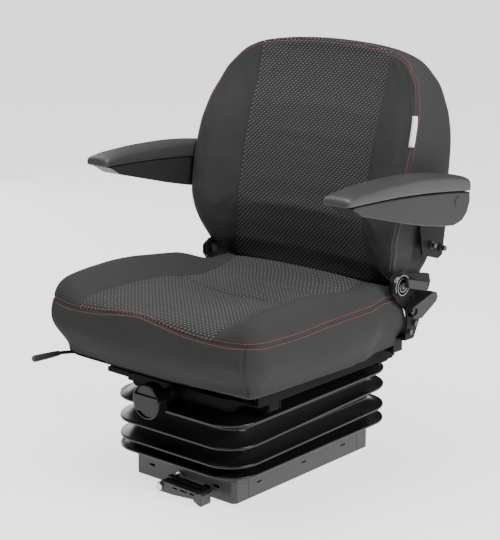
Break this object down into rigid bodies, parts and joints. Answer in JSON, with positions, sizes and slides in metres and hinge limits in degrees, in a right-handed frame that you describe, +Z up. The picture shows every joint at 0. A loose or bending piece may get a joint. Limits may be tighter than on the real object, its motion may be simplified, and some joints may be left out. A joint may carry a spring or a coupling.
{
  "type": "tractor seat",
  "caption": "Upholstered tractor seat with folding armrests, reclining back, fore and aft slide and a sprung scissor suspension inside a rubber bellows.",
  "frame": {"origin": "centre of the floor bolt pattern on the underside of the base tray", "axes": "+Z up, -Y the way the seat faces, +X the occupant's left"},
  "size_m": [0.6488, 0.6357, 0.805],
  "materials": {
    "paint_black": "semi-gloss black powder coat",
    "paint_gloss": "gloss black paint",
    "zinc_steel": "bright zinc plated steel",
    "zinc_black": "black zinc plated steel",
    "spring_steel": "oiled spring steel",
    "chrome_rod": "ground and chromed",
    "bellows_rubber": "satin black moulded rubber",
    "rubber_black": "matt black rubber",
    "plastic_black": "finely grained black plastic",
    "nylon": "natural nylon",
    "arm_pad": "grained soft polyurethane",
    "seat_fabric": "charcoal woven seat cloth with red double stitching"
  },
  "bodies": {
    "base": {"base_tray": "paint_black", "lower_tracks": "paint_black", "lower_pivot_pins": "zinc_steel", "bump_stops": "rubber_black", "front_bolt_and_nut": "zinc_steel", "lock_lever_pin": "zinc_steel", "bellows": "bellows_rubber", "springs": "spring_steel", "spring_cups": "paint_black"},
    "outer_scissor": {"outer_scissor_frame": "paint_black", "centre_pins": "zinc_steel"},
    "inner_scissor": {"inner_scissor_frame": "paint_black"},
    "upper_roller_set": {"upper_roller_shaft": "zinc_steel", "upper_rollers": "nylon"},
    "lower_roller_set": {"lower_roller_shaft": "zinc_steel", "lower_rollers": "nylon"},
    "damper_lower": {"damper_tube": "paint_black"},
    "damper_upper": {"damper_rod": "chrome_rod"},
    "suspension_top": {"top_frame": "paint_gloss", "upper_tracks": "paint_black", "upper_pivot_pins": "zinc_steel", "lower_rail_left": "paint_black", "lower_rail_right": "paint_black", "rail_end_bolts": "paint_black", "bellows_clip": "paint_black"},
    "adjuster": {"weight_knob": "plastic_black", "adjuster_spindle": "zinc_steel"},
    "wedge": {"wedge_nut": "nylon"},
    "bridge": {"spring_bridge": "paint_black"},
    "seat": {"upper_rail_left": "paint_black", "upper_rail_right": "paint_black", "seat_pan": "paint_black", "seat_cushion": "seat_fabric", "hinge_plate_left": "paint_black", "hinge_plate_right": "paint_black", "recliner_pins": "zinc_steel", "hinge_bolts": "paint_black", "recliner_spring": "spring_steel", "recliner_cover": "plastic_black", "slide_lever_pin": "zinc_steel"},
    "slide_lever": {"slide_lever_rod": "paint_black", "slide_lever_grip": "plastic_black"},
    "backrest": {"back_frame": "paint_black", "back_cushion": "seat_fabric", "back_panel": "plastic_black", "recliner_plate_left": "paint_black", "recliner_plate_right": "paint_black", "arm_bracket_left": "paint_black", "arm_bracket_right": "paint_black", "arm_bracket_bolts": "zinc_black", "arm_pivot_pins": "zinc_steel"},
    "recliner_lever": {"recliner_lever": "plastic_black"},
    "armrest_left": {"armrest_body_left": "plastic_black", "armrest_pad_left": "arm_pad", "armrest_cap_left": "plastic_black"},
    "armrest_right": {"armrest_body_right": "plastic_black", "armrest_pad_right": "arm_pad", "armrest_cap_right": "plastic_black"},
    "lock_lever": {"lock_lever": "paint_black"}
  },
  "joints": [
    {"name": "suspension_travel", "type": "slide", "parent": "base", "child": "suspension_top", "axis": [0, 0, 1], "range_m": [-0.08, 0], "stiffness_N_per_m": 3600, "springref_m": 0.1, "deforming": ["bellows", "springs"]},
    {"name": "outer_scissor_swing", "type": "hinge", "parent": "base", "child": "outer_scissor", "pos_m": [0, 0.15, 0.025], "axis": [-1, 0, 0], "range_deg": [-15.2, 0]},
    {"name": "inner_scissor_swing", "type": "hinge", "parent": "suspension_top", "child": "inner_scissor", "pos_m": [0, 0.15, 0.175], "axis": [1, 0, 0], "range_deg": [-15.2, 0]},
    {"name": "upper_roller_spin", "type": "hinge", "parent": "outer_scissor", "child": "upper_roller_set", "pos_m": [0, -0.14394, 0.175], "axis": [1, 0, 0], "continuous": true},
    {"name": "lower_roller_spin", "type": "hinge", "parent": "inner_scissor", "child": "lower_roller_set", "pos_m": [0, -0.14394, 0.025], "axis": [1, 0, 0], "continuous": true},
    {"name": "damper_lower_pivot", "type": "hinge", "parent": "base", "child": "damper_lower", "pos_m": [0, 0.085, 0.022], "axis": [-1, 0, 0], "range_deg": [-19, 0]},
    {"name": "damper_upper_pivot", "type": "hinge", "parent": "suspension_top", "child": "damper_upper", "pos_m": [0, -0.115, 0.165], "axis": [-1, 0, 0], "range_deg": [-19, 0]},
    {"name": "weight_knob_turn", "type": "hinge", "parent": "suspension_top", "child": "adjuster", "pos_m": [-0.008, -0.28, 0.192], "axis": [0, -1, 0], "range_deg": [0, 4320]},
    {"name": "wedge_travel", "type": "slide", "parent": "suspension_top", "child": "wedge", "axis": [0, 1, 0], "range_m": [0, 0.0302]},
    {"name": "bridge_travel", "type": "slide", "parent": "suspension_top", "child": "bridge", "axis": [0, 0, -1], "range_m": [0, 0.00601]},
    {"name": "seat_slide", "type": "slide", "parent": "suspension_top", "child": "seat", "axis": [0, 1, 0], "range_m": [-0.075, 0.075]},
    {"name": "slide_lever_swing", "type": "hinge", "parent": "seat", "child": "slide_lever", "pos_m": [-0.17, -0.18, 0.227], "axis": [0, 0, -1], "range_deg": [0, 8], "stiffness_Nm_per_rad": 1.5, "springref_deg": -5.73},
    {"name": "backrest_recline", "type": "hinge", "parent": "seat", "child": "backrest", "pos_m": [0, 0.117, 0.375], "axis": [1, 0, 0], "range_deg": [-20, 10]},
    {"name": "recliner_lever_lift", "type": "hinge", "parent": "seat", "child": "recliner_lever", "pos_m": [0.26, 0.143, 0.322], "axis": [1, 0, 0], "range_deg": [0, 8], "stiffness_Nm_per_rad": 1.5, "springref_deg": -8.59},
    {"name": "armrest_left_fold", "type": "hinge", "parent": "backrest", "child": "armrest_left", "pos_m": [0.276, 0.207, 0.529], "axis": [-1, 0, 0], "range_deg": [0, 95]},
    {"name": "armrest_right_fold", "type": "hinge", "parent": "backrest", "child": "armrest_right", "pos_m": [-0.276, 0.207, 0.529], "axis": [-1, 0, 0], "range_deg": [0, 95]},
    {"name": "lock_lever_lift", "type": "hinge", "parent": "base", "child": "lock_lever", "pos_m": [-0.022, -0.235, 0.012], "axis": [0, -1, 0], "range_deg": [0, 6]}
  ],
  "couplings": [
    {"joint": "outer_scissor_swing", "follows": "suspension_travel", "rad_per_m": 3.2265},
    {"joint": "inner_scissor_swing", "follows": "suspension_travel", "rad_per_m": 3.2265},
    {"joint": "damper_lower_pivot", "follows": "suspension_travel", "rad_per_m": 3.836},
    {"joint": "damper_upper_pivot", "follows": "suspension_travel", "rad_per_m": 3.836},
    {"joint": "wedge_travel", "follows": "weight_knob_turn", "m_per_rad": 0.00039789},
    {"joint": "bridge_travel", "follows": "weight_knob_turn", "m_per_rad": 0.000079577}
  ]
}
